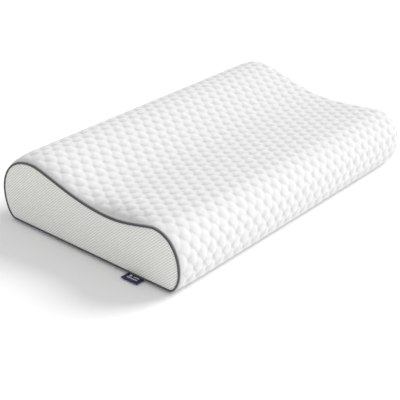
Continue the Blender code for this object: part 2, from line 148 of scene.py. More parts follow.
# Zip and sewing
SLOT_HALF_HEIGHT = 0.0056
SLOT_HALF_LENGTH = 0.2436
SLOT_STEPS = 4
COIL_PITCH = 0.0016
COIL_WIRE_RADIUS = 0.00036
COIL_MESHING = 0.00035  # how far each coil reaches past the middle of the zip
COIL_SQUARENESS = 0.7
COIL_STEPS = 10
STITCH_LENGTH = 0.0030
STITCH_GAP = 0.0009
STITCH_DIP = 0.0006
STITCH_FROM_SLOT = 0.0030
STITCH_PAST_SLOT = 0.004
TACK_THREADS = 9
TACK_PAST_SLOT = 0.0012
TACK_PITCH = 0.00035
TACK_STAGGER = 0.0001
THREAD_RADIUS = 0.00022
TUBE_SIDES = 6

# Piping and panels
PIPING_RADIUS = 0.00165
PIPING_OUTBOARD = 0.00195
PIPING_RINGS = 620
PIPING_SIDES = 14
PUCKER = 0.035
CORD_RADIUS = 0.00095
CORD_RINGS = 300
CORD_SIDES = 8
END_STEPS = 1400
PANEL_EDGE = 0.0024
PANEL_OUTBOARD = 0.0012
PANEL_CROWN = 0.0055
PANEL_THICKNESS = 0.0009
CROWN_FLATNESS = 8
CROWN_POWER = 0.6
RIB_PITCH = 0.00335
RIB_TURN = math.radians(48)
CROSS_PITCH = 0.0047
CROSS_TURN = math.radians(105)
RIB_HEIGHT = 0.0003

# Foam and liner
FOAM_EASE = 0.006
LINER_THICKNESS = 0.0006
LINER_LOOSENESS = 0.0002

# Side label
LABEL_THICKNESS = 0.00038
LABEL_GAP = 0.00005
LABEL_TIP_Z = 0.0022
LABEL_DROOP = 2.2
LABEL_TIP_ROOM = 0.0005
LABEL_FOLD_ROUNDING = 1.3
LABEL_RIPPLE = 0.0004
LABEL_WAVES = 0.9
LABEL_WAVE_START = 0.6

# Camera, floor and surround. The camera's angles are in radians
CAMERA_PLACE = (-1.1629, -0.9585, 0.7527)
CAMERA_PITCH = 0.4761
CAMERA_YAW = 0.7028
CAMERA_ROLL = -0.0024
CAMERA_LENS = 86.97
FLOOR_REACH = 12.0
FLOOR_DROP = 0.0004
SURROUND_STRENGTH = 0.66


# ---------------------------------------------------------------------------------- profile

def outline(rear_middle, tall, valley, low, front_middle, base_front, base_rear, leans):
    """Points and outward normals round a section, from the middle of the rear upwards over the top
    and back along the base. The last point is the first again."""
    up = Vector((0, 1))
    across = Vector((1, 0))
    tall_out, valley_in, valley_out, low_in, low_out, front_in = leans
    rear_out, tall_in = REAR_RISE_LEANS
    front_out, base_front_in = FRONT_FALL_LEANS
    base_front_out, base_rear_in = BASE_LEANS
    base_rear_out, rear_in = REAR_FOOT_LEANS
    arcs = (
        (rear_middle, up * rear_out, across * tall_in, tall),
        (tall, across * -tall_out, across * valley_in, valley),
        (valley, across * -valley_out, across * low_in, low),
        (low, across * -low_out, up * front_in, front_middle),
        (front_middle, up * -front_out, across * -base_front_in, base_front),
        (base_front, across * base_front_out, across * -base_rear_in, base_rear),
        (base_rear, across * base_rear_out, up * -rear_in, rear_middle),
    )
    points = []
    for start, leave, arrive, end in arcs:
        reach = Vector((abs(end[0] - start[0]), abs(end[1] - start[1])))
        leaving = Vector(start) + leave * reach
        arriving = Vector(end) + arrive * reach
        arc = interpolate_bezier(Vector(start), leaving, arriving, Vector(end), ARC_STEPS)
        points += [(point.x, point.y) for point in arc[:-1]]
    points = np.array(points)
    tangents = np.roll(points, -2, axis=0) - np.roll(points, 2, axis=0)
    tangents /= np.linalg.norm(tangents, axis=1)[:, None]
    normals = np.stack([tangents[:, 1], -tangents[:, 0]], axis=1)
    return np.vstack([points, points[:1]]), np.vstack([normals, normals[:1]])


def drawn_in(points, normals, other):
    """How far inwards from each point, along its normal, the other outline lies."""
    found = []
    for point, normal in zip(points, normals):
        offsets = other - point
        inwards = -offsets @ normal
        aside = offsets @ np.array([-normal[1], normal[0]])
        crossed = np.flatnonzero((aside[:-1] > 0) != (aside[1:] > 0))
        share = aside[crossed] / (aside[crossed] - aside[crossed + 1])
        depths = inwards[crossed] + share * (inwards[crossed + 1] - inwards[crossed])
        found.append(depths[np.abs(depths).argmin()])
    return np.array(found)


def profile_tables():
    """Distances round the middle section, its points and outward normals, and how far in the ends
    are from it."""
    points, normals = outline(
        (REAR, ZIP_Z),
        (REAR - TALL_CREST_FROM_REAR, TALL_HEIGHT),
        (VALLEY_Y, VALLEY_HEIGHT),
        (FRONT + LOW_CREST_FROM_FRONT, LOW_HEIGHT),
        (FRONT, FRONT_MIDDLE_Z),
        (FRONT + BASE_FRONT_MARGIN, 0),
        (REAR - BASE_REAR_MARGIN, 0),
        MIDDLE_LEANS,
    )
    end_rear = REAR - END_REAR_INSET
    end_front = FRONT + END_FRONT_INSET
    other, _ = outline(
        (end_rear, ZIP_Z),
        (end_rear - END_TALL_CREST_FROM_REAR, END_TALL_HEIGHT),
        (end_front + END_VALLEY_FROM_FRONT, END_VALLEY_HEIGHT),
        (end_front + END_LOW_CREST_FROM_FRONT, END_LOW_HEIGHT),
        (end_front, END_FRONT_MIDDLE_Z),
        (end_front + END_BASE_FRONT_MARGIN, END_BASE_INSET),
        (end_rear - END_BASE_REAR_MARGIN, END_BASE_INSET),
        END_LEANS,
    )
    reach = np.concatenate([[0.0], np.cumsum(np.linalg.norm(np.diff(points, axis=0), axis=1))])
    return reach, points, normals, drawn_in(points, normals, other)


REACH, OUTLINE, OUTWARD, END_INSET = profile_tables()
GIRTH = REACH[-1]


def smoothstep(value, low, high):
    """0 up to low, 1 from high on, and a smooth rise between them."""
    t = np.clip((value - low) / (high - low), 0, 1)
    return t * t * (3 - 2 * t)


def around(s):
    """Points and outward normals at these distances round the profile."""
    s = np.mod(s, GIRTH)
    points = np.stack([np.interp(s, REACH, OUTLINE[:, i]) for i in range(2)], axis=-1)
    normals = np.stack([np.interp(s, REACH, OUTWARD[:, i]) for i in range(2)], axis=-1)
    return points, normals / np.linalg.norm(normals, axis=-1, keepdims=True)


def arc_at(y, z):
    """How far round the profile its nearest point to this one lies."""
    return REACH[np.argmin(np.hypot(OUTLINE[:, 0] - y, OUTLINE[:, 1] - z))]


TIE_ROW = arc_at(QUILT_PHASE_Y, VALLEY_HEIGHT)


def right_end_inset(inset, points, normals, tall_side):
    """How far in the right end is from the middle section."""
    raised = smoothstep(points[..., 1], RIGHT_LOW_Z, RIGHT_HIGH_Z)
    crest_side = smoothstep(points[..., 0], VALLEY_Y + RIGHT_TALL_START, VALLEY_Y + RIGHT_TALL_FULL)
    share = 1 - (1 - RIGHT_TALL_SHARE) * crest_side * raised
    upward = np.clip(normals[..., 1], RIGHT_LOW_LEAST, 1)
    extra = RIGHT_LOW_EXTRA * (1 - tall_side) * raised * upward
    return inset * share + extra


def top_fall(x, points, tall_side, rounding):
    """How much lower than the CAD's the filling lets the top lie. The left end keeps its outline."""
    from_middle = np.sin(np.pi / 2 * x / HALF_LENGTH)
    fall = (TALL_LOBE_TILT * tall_side + LOW_LOBE_TILT * (1 - tall_side)) * from_middle
    settled = smoothstep(points[..., 0], VALLEY_Y, REAR - TALL_CREST_FROM_REAR)
    fall = fall + TALL_LOBE_SETTLING * settled
    return fall * np.where(x > 0, 1.0, 1 - rounding) * smoothstep(points[..., 1], TOP_LOW_Z, TOP_HIGH_Z)


def place(x, s, depth=0.0, drift=0.0):
    """Points on the pillow at lengths x and distances s round it, below its outer face by depth
    and shifted round it by drift."""
    x, s, depth, drift = np.broadcast_arrays(x, s, depth, drift)
    points, normals = around(s)
    tall_side = smoothstep(points[..., 0], VALLEY_Y - LOBE_BLEND, VALLEY_Y + LOBE_BLEND)
    inset = np.interp(np.mod(s, GIRTH), REACH, END_INSET)
    inset = np.where(x > 0, right_end_inset(inset, points, normals, tall_side), inset)
    end_length = np.where(x > 0, RIGHT_END_LENGTH, END_LENGTH)
    near = np.clip(1 - (HALF_LENGTH - np.abs(x)) / end_length, 0, 1)
    rounding = 1 - np.sqrt(1 - near**2)
    inward = depth + rounding * inset
    y = points[..., 0] - normals[..., 0] * inward - normals[..., 1] * drift
    z = points[..., 1] - normals[..., 1] * inward + normals[..., 0] * drift
    z = z - top_fall(x, points, tall_side, rounding)
    return np.stack([x, y, z], axis=-1)


# ---------------------------------------------------------------------------------- meshes

def grid_faces(rows, columns, wrap_rows=False, wrap_columns=False):
    """The four corners of each face of a grid, which may close on itself either way."""
    i = np.arange(rows if wrap_rows else rows - 1)[:, None]
    j = np.arange(columns if wrap_columns else columns - 1)[None]
    below = (i + 1) % rows
    right = (j + 1) % columns
    quads = [i * columns + j, i * columns + right, below * columns + right, below * columns + j]
    return np.stack([np.broadcast_to(q, (i.size, j.size)) for q in quads], axis=-1).reshape(-1, 4)


def closed_faces(rings, sides):
    """The faces of a tube made of rings, and one across each of its ends."""
    faces = [list(face) for face in grid_faces(rings, sides, wrap_columns=True)]
    faces.append(list(range(sides))[::-1])
    faces.append([(rings - 1) * sides + i for i in range(sides)])
    return faces


def add_wall(piece, thickness, offset):
    """Gives a sheet its thickness, behind it for an offset of -1 and half on each side for 0."""
    wall = piece.modifiers.new("wall", "SOLIDIFY")
    wall.thickness = thickness
    wall.offset = offset


def new_piece(name, points, faces, material):
    """A smooth mesh that rides on the pillow."""
    mesh = bpy.data.meshes.new(name)
    mesh.from_pydata(points.reshape(-1, 3).tolist(), [], [list(map(int, face)) for face in faces])
    mesh.validate()
    mesh.shade_smooth()
    piece = bpy.data.objects.new(name, mesh)
    bpy.context.scene.collection.objects.link(piece)
    mesh.materials.append(material)
    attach(piece, "pillow")
    return piece


def write_attribute(piece, name, values):
    """Stores a number or a vector for each vertex, for the material to read."""
    kind = "FLOAT_VECTOR" if values.ndim == 2 else "FLOAT"
    attribute = piece.data.attributes.new(name, kind, "POINT")
    key = "vector" if values.ndim == 2 else "value"
    attribute.data.foreach_set(key, values.astype(np.float32).ravel())


def cloth_coordinates(u, v):
    """Distances along and across the cloth, in metres, as one vector for each vertex."""
    u, v = np.broadcast_arrays(u, v)
    return np.stack([u, v, np.zeros_like(u)], axis=-1).reshape(-1, 3)


# ---------------------------------------------------------------------------------- quilt

def quilt_patch():
    """Grid of points of a flat patch of quilt, some repeats each way, and which are tied down.
    One unit is 100 mm, because cloth simulation is steadier at that size."""
    across = PITCH_X * PATCH_SCALE
    along = 2 * ROW_PITCH * PATCH_SCALE
    pit_width = PIT_WIDTH * PATCH_SCALE
    pit_length = PIT_LENGTH * PATCH_SCALE
    u = np.linspace(0, PATCH_REPEATS * across, PATCH_REPEATS * PATCH_STEPS_U + 1)[:, None]
    v = np.linspace(0, PATCH_REPEATS * along, PATCH_REPEATS * PATCH_STEPS_V + 1)[None]
    u, v = np.broadcast_arrays(u, v)
    tied = np.zeros(u.shape, bool)
    for shift in (0.0, 0.5):
        du = (u / across - shift + 0.5) % 1 - 0.5
        dv = (v / along - shift + 0.5) % 1 - 0.5
        tied |= np.hypot(du * across / pit_width, dv * along / pit_length) < TIE_SHARE
    tied[[0, -1]] = True
    tied[:, [0, -1]] = True
    return u, v, tied


def blown_up(u, v, tied):
    """How far cloth simulation moves each point of the patch."""
    flat = np.stack([u, v, np.zeros_like(u)], axis=-1)
    mesh = bpy.data.meshes.new("quilt_patch")
    mesh.from_pydata(flat.reshape(-1, 3).tolist(), [], grid_faces(*u.shape)[:, ::-1].tolist())
    patch = bpy.data.objects.new("quilt_patch", mesh)
    bpy.context.scene.collection.objects.link(patch)
    ties = patch.vertex_groups.new(name="ties")
    ties.add([int(i) for i in np.flatnonzero(tied.ravel())], 1.0, "REPLACE")
    cloth = patch.modifiers.new("cloth", "CLOTH")
    settings = cloth.settings
    settings.quality = 6
    settings.mass = 0.2
    settings.tension_stiffness = 12
    settings.compression_stiffness = 12
    settings.shear_stiffness = 5
    settings.bending_stiffness = 0.8
    settings.air_damping = 4
    settings.shrink_min = -0.06
    settings.vertex_group_mass = "ties"
    settings.use_pressure = True
    settings.uniform_pressure_force = 4
    settings.effector_weights.gravity = 0
    cloth.collision_settings.use_collision = False
    scene = bpy.context.scene
    for step in range(1, CLOTH_FRAMES + 1):
        scene.frame_set(step)
    evaluated = patch.evaluated_get(bpy.context.evaluated_depsgraph_get())
    result = np.empty(flat.size, np.float32)
    evaluated.data.vertices.foreach_get("co", result)
    bpy.data.objects.remove(patch)
    scene.frame_set(1)
    return result.reshape(flat.shape) - flat


def simulated_repeat():
    """Displacements over one repeat of the quilt: knit tied down at staggered points and blown
    up between them. Returns an array of (along x, round the profile, outward), at a rise of
    1."""
    u, v, tied = quilt_patch()
    moved = blown_up(u, v, tied)
    middle = moved[PATCH_STEPS_U : 2 * PATCH_STEPS_U, PATCH_STEPS_V : 2 * PATCH_STEPS_V]
    return middle / middle[..., 2].max()


def sample_repeat(repeat, x, s):
    """Reads the repeat at lengths x and distances s round the pillow, blending between points."""
    rows, columns = repeat.shape[:2]
    u = ((x - QUILT_PHASE_X) / PITCH_X % 1) * rows
    v = ((s - TIE_ROW) / (2 * ROW_PITCH) % 1) * columns
    i = np.floor(u).astype(int)
    j = np.floor(v).astype(int)
    a = (u - i)[..., None]
    b = (v - j)[..., None]
    i0, i1, j0, j1 = i % rows, (i + 1) % rows, j % columns, (j + 1) % columns
    top = repeat[i0, j0] * (1 - b) + repeat[i0, j1] * b
    bottom = repeat[i1, j0] * (1 - b) + repeat[i1, j1] * b
    return top * (1 - a) + bottom * a


def soft_wander(x, s):
    """A slow, uneven wave of about -1 to 1 over the cover. Each wave has its radians to a metre
    along the pillow and round it, and its start."""
    waves = ((31, 17, 0.3), (-19, 41, 1.9), (53, -29, 4.1), (11, 67, 2.6))
    return sum(np.sin(along * x + round_it * s + start) for along, round_it, start in waves) / len(waves)


def cover_lines():
    """Lengths x of the cover's cross lines, and distances s of its lengthwise lines. The lines are
    sparser along the base, which is out of sight."""
    count = round(2 * HALF_LENGTH / (PITCH_X / CELL_STEPS_X))
    x = np.linspace(-HALF_LENGTH, HALF_LENGTH, count + 1)
    from_end = np.array([0.0, 0.0006, 0.0014])
    fine = HALF_LENGTH - from_end
    x = np.unique(np.round(np.concatenate([x[2:-2], fine, -fine]), 6))
    edge = SLOT_HALF_HEIGHT
    base_start = arc_at(FRONT + BASE_FRONT_MARGIN / 2, 0.0)
    base_end = arc_at(REAR - BASE_REAR_MARGIN / 2, 0.0)
    fine_step = ROW_PITCH / CELL_STEPS_S
    coarse_step = BASE_COARSENESS * fine_step
    s = np.concatenate([
        np.linspace(-edge, edge, SLOT_STEPS + 1),
        np.linspace(edge, base_start, round((base_start - edge) / fine_step) + 1)[1:],
        np.linspace(base_start, base_end, round((base_end - base_start) / coarse_step) + 1)[1:],
        np.linspace(base_end, GIRTH - edge, round((GIRTH - edge - base_end) / fine_step) + 1)[1:-1],
    ])
    return x, s


def quilted_surface(repeat, x, s):
    """The cover's outer face with its puffs and ties, and how deep each point sits."""
    grid_x, grid_s = np.meshgrid(x, s, indexing="ij")
    wander = soft_wander(grid_x, grid_s)
    shifted_s = grid_s + WANDER_S * soft_wander(grid_s, grid_x)
    moved = sample_repeat(repeat, grid_x + WANDER_X * wander, shifted_s)
    _, normals = around(grid_s)
    from_end = HALF_LENGTH - np.abs(grid_x)
    rise = QUILT_RISE * (END_RISE + (1 - END_RISE) * smoothstep(from_end, *END_RISE_FADE))
    from_slot = np.abs((grid_s + GIRTH / 2) % GIRTH - GIRTH / 2) - SLOT_HALF_HEIGHT
    past_slot = smoothstep(np.abs(grid_x), SLOT_HALF_LENGTH, SLOT_HALF_LENGTH + SLOT_RISE_FADE[1])
    clear_of_slot = np.maximum(smoothstep(from_slot, *SLOT_RISE_FADE), past_slot)
    rise = rise * (SLOT_RISE + (1 - SLOT_RISE) * clear_of_slot)
    facing_down = smoothstep(-normals[..., 1], 0.9, 1.0)
    rise = rise * (1 - BASE_FLATTENING * facing_down)
    rise = rise * (1 + WANDER_RISE * wander)
    depth = rise * (1 - moved[..., 2])
    surface = place(grid_x + rise * moved[..., 0], grid_s, depth, rise * moved[..., 1])
    return surface, np.clip(1 - moved[..., 2], 0, 1)


def cover_quilt(repeat, material):
    """The quilted sleeve, with its end edges turned in and an opening left along the zip slot."""
    x, s = cover_lines()
    surface, pit = quilted_surface(repeat, x, s)
    left_edge, right_edge = (
        [place(side * (HALF_LENGTH - back), s, deep + QUILT_RISE * TURNED_SINK) for back, deep in TURNED_EDGE]
        for side in (-1, 1)
    )
    points = np.array([*reversed(left_edge), *surface, *right_edge])
    extra = len(TURNED_EDGE)
    full_x = np.concatenate([np.repeat(x[0], extra), x, np.repeat(x[-1], extra)])
    full_u = np.broadcast_to(full_x[:, None], points.shape[:2])
    full_v = np.broadcast_to(s[None], points.shape[:2])
    pit = np.pad(pit, ((extra, extra), (0, 0)))
    faces = grid_faces(*points.shape[:2], wrap_columns=True)
    columns = len(s)
    row_of = faces[:, 0] // columns
    column_of = faces[:, 0] % columns
    beside_slot = np.abs(full_x) < SLOT_HALF_LENGTH
    slot = beside_slot[row_of] & beside_slot[row_of + 1] & (column_of < SLOT_STEPS)
    piece = new_piece("cover_quilt", points, faces[~slot], material)
    write_attribute(piece, "cloth", cloth_coordinates(full_u, full_v))
    write_attribute(piece, "pit", pit.ravel())
    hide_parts("cover_sleeve")


# ---------------------------------------------------------------------------------- ends

def end_edges(inset, side):
    """The end section, drawn in by this much, as base and top edges from front to rear."""
    s = np.linspace(0, GIRTH, END_STEPS, endpoint=False)
    ring = place(side * HALF_LENGTH, s, inset)[:, 1:]
    rear = ring[:, 0].argmax()
    ring = np.roll(ring, -rear, axis=0)
    front = ring[:, 0].argmin()
    top = ring[: front + 1][::-1]
    base = np.vstack([ring[front:], ring[:1]])
    return base, top


def end_surface(x, inset, crown, side, columns, rows):
    """Points over an end, from the front edge to the rear edge and from the base to the top."""
    base, top = end_edges(inset, side)
    share = (1 - np.cos(np.pi * np.linspace(0, 1, columns + 1))) / 2
    y = base[0, 0] + share * (base[-1, 0] - base[0, 0])
    low = np.interp(y, base[:, 0], base[:, 1])
    high = np.interp(y, top[:, 0], top[:, 1])
    rise = (1 - np.cos(np.pi * np.linspace(0, 1, rows + 1))) / 2
    z = low[:, None] + rise[None] * (high - low)[:, None]
    grid_y = np.broadcast_to(y[:, None], z.shape)
    vertical = 1 - (2 * rise - 1) ** 2
    lengthwise = 1 - (2 * share - 1) ** CROWN_FLATNESS
    bulge = crown * (vertical[None] * lengthwise[:, None]) ** CROWN_POWER
    return np.stack([x + side * bulge, grid_y, z], axis=-1)


def sheet_solid(name, points, thickness, material, flip):
    """A grid of points as a sheet with a wall behind it."""
    faces = grid_faces(*points.shape[:2])
    if flip:
        faces = faces[:, ::-1]
    piece = new_piece(name, points, faces, material)
    add_wall(piece, thickness, offset=-1)
    return piece


def end_panel(side, end, material):
    """The ribbed spacer mesh that closes an end, crowned by the filling behind it."""
    edge_x = side * (HALF_LENGTH + PANEL_OUTBOARD)
    points = end_surface(edge_x, PANEL_EDGE, PANEL_CROWN, side, columns=400, rows=108)
    u = points[..., 1]
    v = points[..., 2]
    across_ribs = u * math.cos(RIB_TURN) + v * math.sin(RIB_TURN)
    ribs = RIB_HEIGHT * 0.5 * (1 + np.cos(2 * np.pi * across_ribs / RIB_PITCH))
    from_corner = np.sin(np.linspace(0, np.pi, len(u)))[:, None]
    points[..., 0] += side * ribs * smoothstep(from_corner, 0.0, 0.1)
    piece = sheet_solid(f"mesh_panel_{end}", points, PANEL_THICKNESS, material, flip=side > 0)
    write_attribute(piece, "cloth", cloth_coordinates(u, v))
    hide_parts(f"end_panel_{end}")


def seam_tube(name, side, radius, material):
    """A tube round an end seam, with a radius for each corner of each ring."""
    rings, sides = radius.shape
    s = np.linspace(0, GIRTH, rings, endpoint=False)
    turn = np.linspace(0, 2 * np.pi, sides, endpoint=False)
    ring = place(side * HALF_LENGTH, s[:, None], PIPING_RADIUS - radius * np.cos(turn)[None])
    ring[..., 0] += side * (PIPING_OUTBOARD + radius * np.sin(turn)[None])
    faces = grid_faces(rings, sides, wrap_rows=True, wrap_columns=True)
    if side > 0:
        faces = faces[:, ::-1]
    piece = new_piece(name, ring, faces, material)
    write_attribute(piece, "cloth", cloth_coordinates(s[:, None], turn[None] * PIPING_RADIUS))
    return piece


def piping(side, end, cloth, cotton):
    """Bias tape stretched over its cord, with a faint pucker at each stitch, and the cord."""
    turn = np.linspace(0, 2 * np.pi, PIPING_SIDES, endpoint=False)
    pucker = np.cos(np.pi * np.arange(PIPING_RINGS))[:, None] * np.clip(-np.cos(turn), 0, 1)
    tape = seam_tube(f"piping_{end}", side, PIPING_RADIUS * (1 + PUCKER * pucker), cloth)
    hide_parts(f"piping_tape_{end}")
    cord = seam_tube(f"cord_{end}", side, np.full((CORD_RINGS, CORD_SIDES), CORD_RADIUS), cotton)
    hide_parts(f"piping_cord_{end}")


# ---------------------------------------------------------------------------------- inside

def foam_block(material):
    """The moulded core, with its end edges eased."""
    half = CORE_HIGH.x
    turn = np.linspace(0, np.pi / 2, 6)
    back = FOAM_EASE * (1 - np.cos(turn))
    drawn = FOAM_EASE * (1 - np.sin(turn))
    lengths = np.linspace(-half + FOAM_EASE, half - FOAM_EASE, 50)
    x = np.concatenate([-half + back[:-1], lengths, half - back[:-1][::-1]])
    inset = np.concatenate([drawn[:-1], np.zeros_like(lengths), drawn[:-1][::-1]])
    s = np.linspace(0, GIRTH, 220, endpoint=False)
    depth = REAR - CORE_HIGH.y
    ring = place(x[:, None], s[None], depth + inset[:, None])
    piece = new_piece("foam_block", ring, closed_faces(len(x), len(s)), material)
    piece.data.set_sharp_from_angle(angle=math.radians(50))
    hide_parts("foam_core")


def liner(material):
    """The thin sock between the foam and the cover: a sleeve and two ends."""
    depth = REAR - LINER_HIGH.y
    x = np.linspace(LINER_LOW.x, LINER_HIGH.x, 60)
    s = np.linspace(0, GIRTH, 240, endpoint=False)
    loose = LINER_LOOSENESS * soft_wander(3 * x[:, None], 3 * s[None])
    points = place(x[:, None], s[None], depth + np.abs(loose))
    wrap = new_piece("liner_wrap", points, grid_faces(len(x), len(s), wrap_columns=True), material)
    add_wall(wrap, LINER_THICKNESS, offset=-1)
    write_attribute(wrap, "cloth", cloth_coordinates(x[:, None], s[None]))
    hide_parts("inner_liner_wrap")
    for side, end in ((-1, "left"), (1, "right")):
        low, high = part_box(f"inner_liner_{end}_end")
        edge_x = low.x if side < 0 else high.x
        points = end_surface(edge_x, depth, 0.0, side, columns=90, rows=30)
        piece = sheet_solid(f"liner_{end}_end", points, LINER_THICKNESS, material, flip=side > 0)
        write_attribute(piece, "cloth", cloth_coordinates(points[..., 1], points[..., 2]))
        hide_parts(f"inner_liner_{end}_end")


# ---------------------------------------------------------------------------------- zip

def tube(points, radius):
    """Points and faces of a closed-ended tube along a path."""
    off_the_paths = (0.0, 0.37, 0.93)  # a direction that no thread or coil runs in
    points = np.asarray(points)
    ahead = np.gradient(points, axis=0)
    ahead /= np.linalg.norm(ahead, axis=1)[:, None]
    side = np.cross(ahead, off_the_paths)
    side /= np.linalg.norm(side, axis=1)[:, None]
    other = np.cross(ahead, side)
    turn = np.linspace(0, 2 * np.pi, TUBE_SIDES, endpoint=False)
    ring = points[:, None] + radius * (
        side[:, None] * np.cos(turn)[None, :, None] + other[:, None] * np.sin(turn)[None, :, None]
    )
    return ring.reshape(-1, 3), closed_faces(len(points), TUBE_SIDES)


def joined_tubes(name, paths, radius, material):
    """One piece made of a tube along each path."""
    points = []
    faces = []
    count = 0
    for path in paths:
        ring, found = tube(path, radius)
        points.append(ring)
        faces += [[i + count for i in face] for face in found]
        count += len(ring)
    return new_piece(name, np.vstack(points), faces, material)


def zip_coils(material):
    """Two flattened nylon coils, half a turn apart, meshed along the middle of the zip."""
    for name, sign in (("upper", 1), ("lower", -1)):
        low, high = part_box(f"zip_coil_{name}")
        turns = int((high.x - low.x - COIL_PITCH) / COIL_PITCH)
        turn = np.linspace(0, 2 * np.pi * turns, turns * COIL_STEPS + 1)
        shift = COIL_PITCH / 4 * sign
        x = (low.x + high.x) / 2 + (turn / (2 * np.pi) - turns / 2) * COIL_PITCH + shift
        outer = abs((high.z if sign > 0 else low.z) - ZIP_Z) - COIL_WIRE_RADIUS
        mid_z = (outer - COIL_MESHING) / 2
        half_z = (outer + COIL_MESHING) / 2
        mid_y = (low.y + high.y) / 2
        half_y = (high.y - low.y) / 2 - COIL_WIRE_RADIUS
        wave = np.cos(turn)
        z = ZIP_Z + sign * (mid_z - half_z * np.sign(wave) * np.abs(wave) ** COIL_SQUARENESS)
        y = mid_y + half_y * np.sin(turn)
        path = np.stack([x, y, z], axis=-1)
        piece = joined_tubes(f"coil_{name}", [path], COIL_WIRE_RADIUS, material)
        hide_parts(f"zip_coil_{name}")


def stitch_row(s, x_start, x_end, depth):
    """Paths of the stitches of one sewn line along X."""
    step = STITCH_LENGTH + STITCH_GAP
    paths = []
    for i in range(int((x_end - x_start) / step)):
        share = np.linspace(0, 1, 5)
        x = x_start + i * step + share * STITCH_LENGTH
        sunk = depth + STITCH_DIP * (2 * share - 1) ** 4
        paths.append(place(x, s, sunk))
    return paths


def zip_stitching(material):
    """Two sewn lines that hold the zip tapes, and a bar tack across each end of the slot."""
    line = SLOT_HALF_HEIGHT + STITCH_FROM_SLOT
    half = SLOT_HALF_LENGTH + STITCH_PAST_SLOT
    depth = SLOT_RISE * QUILT_RISE
    paths = stitch_row(line, -half, half, depth) + stitch_row(-line, -half, half, depth)
    for end in (-1, 1):
        for i in range(TACK_THREADS):
            x = end * (SLOT_HALF_LENGTH + TACK_PAST_SLOT + TACK_PITCH * i)
            s = np.linspace(-line, line, 9)
            paths.append(place(x, s, depth - TACK_STAGGER * (i % 2)))
    piece = joined_tubes("zip_stitching", paths, THREAD_RADIUS, material)


# ---------------------------------------------------------------------------------- labels

def side_label(material):
    """A folded woven label: down from the seam, out over the floor, round the fold and back."""
    low, high = LABEL_LOW, LABEL_HIGH
    length = high.x - low.x
    across = np.linspace(low.y, high.y, 31)
    out = np.linspace(0, 1, 22)
    fall = high.z - LABEL_THICKNESS / 2 - (high.z - LABEL_TIP_Z) * (1 - (1 - out) ** LABEL_DROOP)
    outwards = high.x - out * (length - LABEL_TIP_ROOM)
    lower = np.stack([outwards, fall - LABEL_THICKNESS - LABEL_GAP], axis=-1)
    upper = np.stack([outwards, fall], axis=-1)
    turn = np.linspace(-np.pi / 2, np.pi / 2, 7)[1:-1]
    half = (LABEL_THICKNESS + LABEL_GAP) / 2
    centre = (upper[-1] + lower[-1]) / 2
    fold_x = centre[0] - half * np.cos(turn) * LABEL_FOLD_ROUNDING
    fold = np.stack([fold_x, centre[1] + half * np.sin(turn)], axis=-1)
    path = np.vstack([lower, fold, upper[::-1]])
    run = np.concatenate([[0], np.cumsum(np.linalg.norm(np.diff(path, axis=0), axis=1))])
    x = np.broadcast_to(path[:, :1], (len(path), len(across)))
    share = (high.x - x) / length
    wave = np.sin(2 * np.pi * (across - low.y) / (high.y - low.y) * LABEL_WAVES + LABEL_WAVE_START)
    ripple = LABEL_RIPPLE * wave[None] * share
    z = path[:, 1:2] + ripple + LABEL_RIPPLE * share
    y = np.broadcast_to(across[None], x.shape)
    points = np.stack([x, y, z], axis=-1)
    piece = new_piece("woven_label", points, grid_faces(*x.shape), material)
    add_wall(piece, LABEL_THICKNESS, offset=0)
    write_attribute(piece, "cloth", cloth_coordinates((across - low.y)[None], (run[-1] - run)[:, None]))
    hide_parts("side_label")


# ---------------------------------------------------------------------------------- materials

